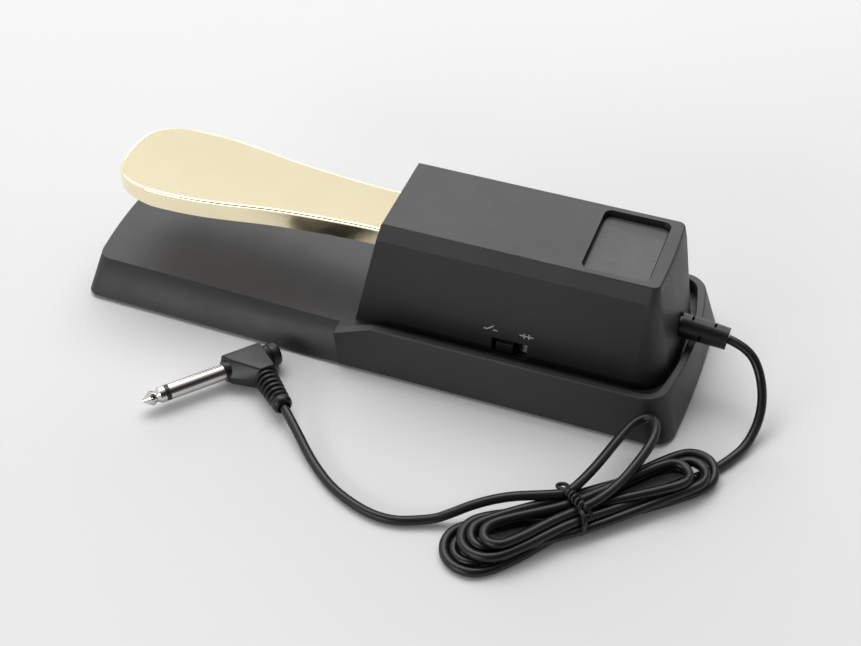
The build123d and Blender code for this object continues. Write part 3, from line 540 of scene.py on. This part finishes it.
body = bmesh.new()
sections = (
    (0.9, ((1.0, -3.6), (1.6, 2.6), (9.4, 10.2), (17.2, 10.6), (17.4, -3.8))),
    (3.2, ((0.1, -5.0), (0.2, 4.6), (8.4, 11.0), (18.2, 11.0), (18.4, -5.0))),
    (6.2, ((0.0, -5.2), (0.1, 4.9), (8.2, 11.2), (18.3, 11.2), (18.5, -5.2))),
    (11.5, ((0.3, -3.8), (2.6, -0.2), (11.0, 10.7), (16.9, 10.7), (16.5, -3.8))),
)
rings = [[body.verts.new(plug(w, v, z) * MM) for w, v in outline] for z, outline in sections]
body.faces.new(rings[0])
body.faces.new(rings[-1])
for low, high in zip(rings, rings[1:]):
    for k in range(5):
        n = (k + 1) % 5
        body.faces.new((low[k], low[n], high[n], high[k]))
plug_body = new_piece("plug_housing", to_mesh(body, "plug_housing"), "pvc", smooth=60)
bevel(plug_body, 0.7 * MM, 3, 12)

knob = bmesh.new()
lathe(
    knob,
    plug(0, 0, AXIS_Z),
    -BARREL,
    [
        (0, 14),
        (4.6, 14),
        (4.6, 18.0),
        (4.35, 18.3),
        (4.35, 18.7),
        (4.9, 19.0),
        (4.95, 20.6),
        (4.7, 21.9),
        (4.0, 22.7),
        (2.8, 23.1),
        (0, 23.2),
    ],
)
plug_knob = new_piece("plug_knob", to_mesh(knob, "plug_knob"), "pvc", smooth=50)

collar = bmesh.new()
lathe(
    collar,
    plug(0, 0, AXIS_Z),
    BARREL,
    [(0, -2), (4.3, -2), (4.5, -0.2), (4.3, 0.35), (3.6, 0.5), (3.3, 0.5), (0, 0.3)],
)
plug_collar = new_piece("plug_collar", to_mesh(collar, "plug_collar"), "pvc", smooth=50)

RIBS = 6
RIB_START = 10.2
RIB_PITCH = 2.35
RIB_RADIUS = 5.0
RIB_TAPER = 0.17
boot = bmesh.new()
profile = [(0, 7.5), (5.0, 7.5), (5.0, 9.6)]
for k in range(RIBS):
    start = RIB_START + RIB_PITCH * k
    size = RIB_RADIUS - RIB_TAPER * k
    profile += [
        (size - 0.95, start),
        (size - 0.95, start + 0.6),
        (size - 0.15, start + 0.95),
        (size, start + 1.35),
        (size - 0.12, start + 1.95),
    ]
profile += [
    (3.3, 24.4),
    (3.3, 24.8),
    (3.9, 25.1),
    (4.05, 26.0),
    (3.85, 27.4),
    (3.3, 28.2),
    (2.7, 28.5),
    (2.3, 28.1),
    (2.1, 26.2),
    (0, 26.0),
]
lathe(boot, plug(BOOT_SET, 0, AXIS_Z), OUT, profile)
plug_boot = new_piece("plug_boot", to_mesh(boot, "plug_boot"), "pvc", smooth=50)
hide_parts("plug_body")

# ---- tie ----
TOP = 11.5  # the top of the strands at the tie
BAND_CENTRE = (1.9, 5.95)
BAND_HALF = (8.6, 5.5)
BAND_POINTS = 40
SQUARENESS = 0.62  # under 1 the band is squarer than an ellipse
BAND_WIDTH = 2.3
BAND_THICKNESS = 0.7


def strap(form, centre_line, width, thickness, along):
    """A flat closed band of that width through the points of centre_line."""
    count = len(centre_line)
    rings = []
    for k, here in enumerate(centre_line):
        ahead = centre_line[(k + 1) % count] - centre_line[k - 1]
        outward = ahead.cross(along).normalized()
        ring = []
        for across, over in ((-1, -1), (-0.7, 1), (0.7, 1), (1, -1)):
            place = here + along * across * width / 2 + outward * over * thickness / 2
            ring.append(form.verts.new(place * MM))
        rings.append(ring)
    for k in range(count):
        a, b = rings[k], rings[(k + 1) % count]
        for j in range(4):
            n = (j + 1) % 4
            form.faces.new((a[j], a[n], b[n], b[j]))


band = bmesh.new()
lean = Vector((*ALONG, 0))
outline = []
for k in range(BAND_POINTS):
    a = 2 * math.pi * k / BAND_POINTS
    c, s = math.cos(a), math.sin(a)
    t = BAND_CENTRE[0] + BAND_HALF[0] * math.copysign(abs(c) ** SQUARENESS, c)
    z = BAND_CENTRE[1] + BAND_HALF[1] * math.copysign(abs(s) ** SQUARENESS, s)
    outline.append(Vector(hank(0.9 * s - 0.5 * c, t, z)))
strap(band, outline, BAND_WIDTH, BAND_THICKNESS, lean)
tie = new_piece("tie_band", to_mesh(band, "tie_band"), "pvc", smooth=50)
soften = tie.modifiers.new("round", "SUBSURF")
soften.levels = soften.render_levels = 2


def wire(name, points, radius):
    """A thin round wire on a smooth line through the control points."""
    line = bpy.data.curves.new(name, "CURVE")
    line.dimensions = "3D"
    line.bevel_depth = radius * MM
    line.bevel_resolution = 4
    line.resolution_u = 8
    line.use_fill_caps = True
    run = line.splines.new("NURBS")
    run.points.add(len(points) - 1)
    for point, place in zip(run.points, points):
        point.co = (*(v * MM for v in place), 1)
    run.order_u = 3
    run.use_endpoint_u = True
    shape = bpy.data.objects.new(name, line)
    scene.collection.objects.link(shape)
    mesh = bpy.data.meshes.new_from_object(shape.evaluated_get(bpy.context.evaluated_depsgraph_get()))
    bpy.data.objects.remove(shape)
    return new_piece(name, mesh, "pvc", smooth=60)


TWIST_POINTS = 22
TWIST_TURNS = 2.6
WIRE_RADIUS = 0.78
EYE_RADIUS = 0.75
for side in (0, 1):
    line = []
    for k in range(TWIST_POINTS):
        f = k / (TWIST_POINTS - 1)
        a = math.pi * side + 2 * math.pi * TWIST_TURNS * f
        wide = 1.0 + 0.5 * math.sin(math.pi * f)
        s = 0.2 + 1.6 * f + wide * math.cos(a)
        z = TOP + 1.15 - 1.0 * (2 * f - 1) ** 4 + wide * 0.75 * math.sin(a)
        line.append(hank(s, 7.4 - 9.2 * f, z))
    if side:
        line += [hank(3.4, -2.6, TOP - 0.4), hank(4.0, -3.6, TOP - 1.2), hank(4.2, -4.8, TOP - 2.3)]
    wire(f"tie_twist_{side}", line, WIRE_RADIUS)
eye = [
    hank(0.6, 6.6, TOP + 0.7),
    hank(-1.4, 8.6, TOP + 1.0),
    hank(-2.4, 10.8, TOP + 0.2),
    hank(-0.9, 12.3, TOP - 0.6),
    hank(1.1, 11.3, TOP - 0.2),
    hank(1.4, 9.0, TOP + 0.6),
    hank(0.6, 6.6, TOP + 0.9),
]
tie_eye = wire("tie_eye", eye, EYE_RADIUS)
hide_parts("cord_tie")

# ---- switch marks ----
hood_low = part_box("hood")[0]
SIDE_LEAN = 4.8
SIDE_HEIGHT = 39.4
slope = SIDE_LEAN / SIDE_HEIGHT  # the hood's side, as it leans in
INK_HEIGHT = 0.06
MARK_BASE = 25.9


def mark(name, left, strokes, base=MARK_BASE, thick=0.42):
    """Short raised strokes of ink on the hood's near side, given as lines in millimetres."""
    form = bmesh.new()
    foot = hood_low[2] / MM
    for (x0, z0), (x1, z1) in strokes:
        run = Vector((x1 - x0, z1 - z0)).normalized() * thick / 2
        side = Vector((-run.y, run.x))
        corners = []
        for x, z in (
            (x0 - run.x + side.x, z0 - run.y + side.y),
            (x0 - run.x - side.x, z0 - run.y - side.y),
            (x1 + run.x - side.x, z1 + run.y - side.y),
            (x1 + run.x + side.x, z1 + run.y + side.y),
        ):
            y = hood_low[1] / MM + slope * (base + z - foot)
            corners.append((left + x, y, base + z))
        inner = [form.verts.new(Vector(c) * MM) for c in corners]
        outer = [form.verts.new((Vector(c) + Vector((0, -INK_HEIGHT, 0))) * MM) for c in corners]
        form.faces.new(outer)
        form.faces.new(inner)
        for k in range(4):
            n = (k + 1) % 4
            form.faces.new((inner[k], inner[n], outer[n], outer[k]))
    mesh = to_mesh(form, name)
    piece = bpy.data.objects.new(name, mesh)
    scene.collection.objects.link(piece)
    dress(piece, white_ink)
    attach(piece, "base")


mark("mark_open", 45.8, [((0, 0.2), (1.2, 0.2)), ((1.5, 0.4), (3.6, 2.0)), ((3.9, 0.2), (5.1, 0.2))])
mark(
    "mark_closed",
    60.2,
    [((0, 0.9), (1.6, 0.9)), ((1.6, 0.0), (1.6, 1.8)), ((3.5, 0.0), (3.5, 1.8)), ((1.6, 0.9), (5.1, 0.9))],
)

# ---- moulded edges ----
WELD_DISTANCE = 0.00001
for name, width in (("base_tray", 0.7), ("hood", 0.6), ("label_plate", 0.25), ("polarity_slider", 0.3)):
    node = frame["nodes"][name]
    weld = node.modifiers.new("weld", "WELD")
    weld.merge_threshold = WELD_DISTANCE
    edges = bevel(node, width * MM, 2, 24)
    edges.use_clamp_overlap = True
